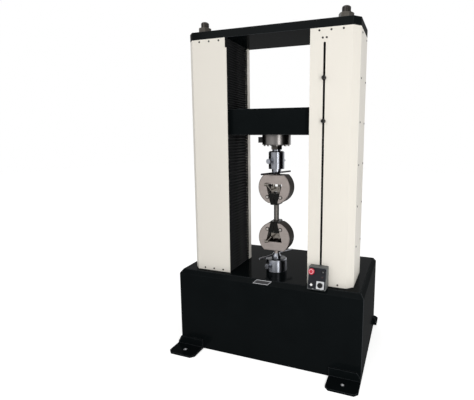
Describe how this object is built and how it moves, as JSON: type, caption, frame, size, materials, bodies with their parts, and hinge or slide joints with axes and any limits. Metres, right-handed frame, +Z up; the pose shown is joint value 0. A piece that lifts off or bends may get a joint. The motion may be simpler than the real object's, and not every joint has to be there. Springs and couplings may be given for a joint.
{
  "type": "universal testing machine",
  "caption": "Floor-standing two-column universal testing machine with a screw-driven crosshead, pleated screens, load cell, wedge grips on a round bar and a side control box.",
  "frame": {"origin": "on the floor under the middle of the base", "axes": "+X to the viewer's right, +Z up, the front faces -Y"},
  "size_m": [1.264, 0.97, 2.126],
  "materials": {
    "black_powder_coat": "gloss black powder coat",
    "cream_powder_coat": "satin cream powder coat",
    "fabric_bellows": "matt black coated fabric",
    "ground_steel": "turned and ground steel",
    "zinc_steel": "zinc-plated steel",
    "grip_steel": "phosphated grey-brown steel, darker on its machined rims",
    "jaw_steel": "hardened blackened steel",
    "cast_case": "grey painted casting",
    "motor_paint": "satin dark grey paint",
    "box_paint": "satin dark grey paint",
    "black_plastic": "fine-grained black plastic",
    "red_plastic": "gloss red plastic",
    "white_plastic": "gloss white plastic",
    "black_rubber": "moulded rubber",
    "plate_metal": "satin anodised aluminium"
  },
  "bodies": {
    "frame": {"base_front_panel": "black_powder_coat", "base_left_panel": "black_powder_coat", "base_rear_panel": "black_powder_coat", "base_right_panel": "black_powder_coat", "base_supports": "black_powder_coat", "cam_switch_plate": "plate_metal", "column_nuts": "zinc_steel", "control_box": "box_paint", "foot_front_left": "black_powder_coat", "foot_front_right": "black_powder_coat", "foot_rear_left": "black_powder_coat", "foot_rear_right": "black_powder_coat", "gear_reducer": "cast_case", "guide_columns": "ground_steel", "left_front_cover": "cream_powder_coat", "left_rear_cover": "cream_powder_coat", "limit_rod": "ground_steel", "lower_adapter": "ground_steel", "lower_bellows": "fabric_bellows", "lower_grip_body": "grip_steel", "power_inlet": "black_plastic", "right_front_cover": "cream_powder_coat", "right_rear_cover": "cream_powder_coat", "screw_bearings": "cast_case", "servo_motor": "motor_paint", "test_bar": "ground_steel", "timing_belt": "black_rubber", "top_plate": "black_powder_coat", "upper_bellows": "fabric_bellows", "worktop_plate": "black_powder_coat"},
    "crosshead": {"crosshead": "black_powder_coat", "guide_bushes": "ground_steel", "ball_nuts": "ground_steel", "load_cell": "ground_steel", "cell_connector": "black_plastic", "adapter_nut": "zinc_steel", "upper_adapter": "ground_steel", "upper_grip_body": "grip_steel", "limit_sensor": "plate_metal"},
    "left_screw": {"left_ball_screw": "ground_steel"},
    "right_screw": {"right_ball_screw": "ground_steel"},
    "motor_shaft": {"motor_pulley": "plate_metal"},
    "upper_jaw_pusher": {"upper_jaw_pusher": "jaw_steel"},
    "upper_left_jaw": {"upper_left_jaw": "jaw_steel"},
    "upper_right_jaw": {"upper_right_jaw": "jaw_steel"},
    "upper_lock_ring": {"upper_lock_ring": "ground_steel"},
    "upper_cross_pin": {"upper_cross_pin": "ground_steel"},
    "lower_jaw_pusher": {"lower_jaw_pusher": "jaw_steel"},
    "lower_left_jaw": {"lower_left_jaw": "jaw_steel"},
    "lower_right_jaw": {"lower_right_jaw": "jaw_steel"},
    "lower_lock_ring": {"lower_lock_ring": "ground_steel"},
    "lower_cross_pin": {"lower_cross_pin": "ground_steel"},
    "upper_stop_dog": {"upper_stop_dog": "black_plastic"},
    "lower_stop_dog": {"lower_stop_dog": "black_plastic"},
    "estop_button": {"estop_button": "red_plastic"},
    "white_button": {"white_button": "white_plastic"},
    "black_button": {"black_button": "black_plastic"},
    "cam_switch_knob": {"cam_switch_knob": "black_plastic"}
  },
  "joints": [
    {"name": "left_screw_spin", "type": "hinge", "parent": "frame", "child": "left_screw", "pos_m": [-0.4, -0.129, 1], "axis": [0, 0, -1], "range_deg": [-1620, 10800]},
    {"name": "right_screw_spin", "type": "hinge", "parent": "frame", "child": "right_screw", "pos_m": [0.4, -0.129, 1], "axis": [0, 0, -1], "range_deg": [-1620, 10800]},
    {"name": "motor_spin", "type": "hinge", "parent": "frame", "child": "motor_shaft", "pos_m": [0, 0.1, 0.4], "axis": [0, 0, -1], "range_deg": [-2893, 19286]},
    {"name": "crosshead_slide", "type": "slide", "parent": "frame", "child": "crosshead", "axis": [0, 0, 1], "range_m": [-0.045, 0.3], "deforming": ["upper_bellows", "lower_bellows"]},
    {"name": "upper_pusher_slide", "type": "slide", "parent": "crosshead", "child": "upper_jaw_pusher", "axis": [0, 0, 1], "range_m": [0, 0.028]},
    {"name": "upper_left_jaw_slide", "type": "slide", "parent": "crosshead", "child": "upper_left_jaw", "axis": [-0.2419, 0, 0.9703], "range_m": [0, 0.029]},
    {"name": "upper_right_jaw_slide", "type": "slide", "parent": "crosshead", "child": "upper_right_jaw", "axis": [0.2419, 0, 0.9703], "range_m": [0, 0.029]},
    {"name": "upper_lock_ring_turn", "type": "hinge", "parent": "crosshead", "child": "upper_lock_ring", "pos_m": [0, -0.129, 1.195], "axis": [0, 0, -1], "range_deg": [0, 180]},
    {"name": "upper_cross_pin_pull", "type": "slide", "parent": "crosshead", "child": "upper_cross_pin", "axis": [-0.3007, -0.9537, 0], "range_m": [0, 0.18]},
    {"name": "lower_pusher_slide", "type": "slide", "parent": "frame", "child": "lower_jaw_pusher", "axis": [0, 0, -1], "range_m": [0, 0.028]},
    {"name": "lower_left_jaw_slide", "type": "slide", "parent": "frame", "child": "lower_left_jaw", "axis": [-0.2419, 0, -0.9703], "range_m": [0, 0.029]},
    {"name": "lower_right_jaw_slide", "type": "slide", "parent": "frame", "child": "lower_right_jaw", "axis": [0.2419, 0, -0.9703], "range_m": [0, 0.029]},
    {"name": "lower_lock_ring_turn", "type": "hinge", "parent": "frame", "child": "lower_lock_ring", "pos_m": [0, -0.129, 0.632], "axis": [0, 0, 1], "range_deg": [0, 180]},
    {"name": "lower_cross_pin_pull", "type": "slide", "parent": "frame", "child": "lower_cross_pin", "axis": [-0.3007, -0.9537, 0], "range_m": [0, 0.18]},
    {"name": "upper_stop_slide", "type": "slide", "parent": "frame", "child": "upper_stop_dog", "axis": [0, 0, 1], "range_m": [-0.09, 0.16]},
    {"name": "lower_stop_slide", "type": "slide", "parent": "frame", "child": "lower_stop_dog", "axis": [0, 0, 1], "range_m": [-0.8, 0.12]},
    {"name": "estop_push", "type": "slide", "parent": "frame", "child": "estop_button", "axis": [0, 0.9574, -0.2887], "range_m": [0, 0.005]},
    {"name": "white_button_push", "type": "slide", "parent": "frame", "child": "white_button", "axis": [0, 0.9574, -0.2887], "range_m": [0, 0.003], "stiffness_N_per_m": 800, "springref_m": -0.002},
    {"name": "black_button_push", "type": "slide", "parent": "frame", "child": "black_button", "axis": [0, 0.9574, -0.2887], "range_m": [0, 0.003], "stiffness_N_per_m": 800, "springref_m": -0.002},
    {"name": "cam_switch_turn", "type": "hinge", "parent": "frame", "child": "cam_switch_knob", "pos_m": [0.36, -0.36769, 0.56383], "axis": [0, -0.9574, 0.2887], "range_deg": [-45, 45]}
  ],
  "couplings": [
    {"joint": "crosshead_slide", "follows": "left_screw_spin", "m_per_rad": 0.0015915},
    {"joint": "right_screw_spin", "follows": "left_screw_spin", "ratio": 1},
    {"joint": "motor_spin", "follows": "left_screw_spin", "ratio": 1.7857},
    {"joint": "upper_left_jaw_slide", "follows": "upper_pusher_slide", "ratio": 1.0306},
    {"joint": "upper_right_jaw_slide", "follows": "upper_pusher_slide", "ratio": 1.0306},
    {"joint": "lower_left_jaw_slide", "follows": "lower_pusher_slide", "ratio": 1.0306},
    {"joint": "lower_right_jaw_slide", "follows": "lower_pusher_slide", "ratio": 1.0306}
  ]
}
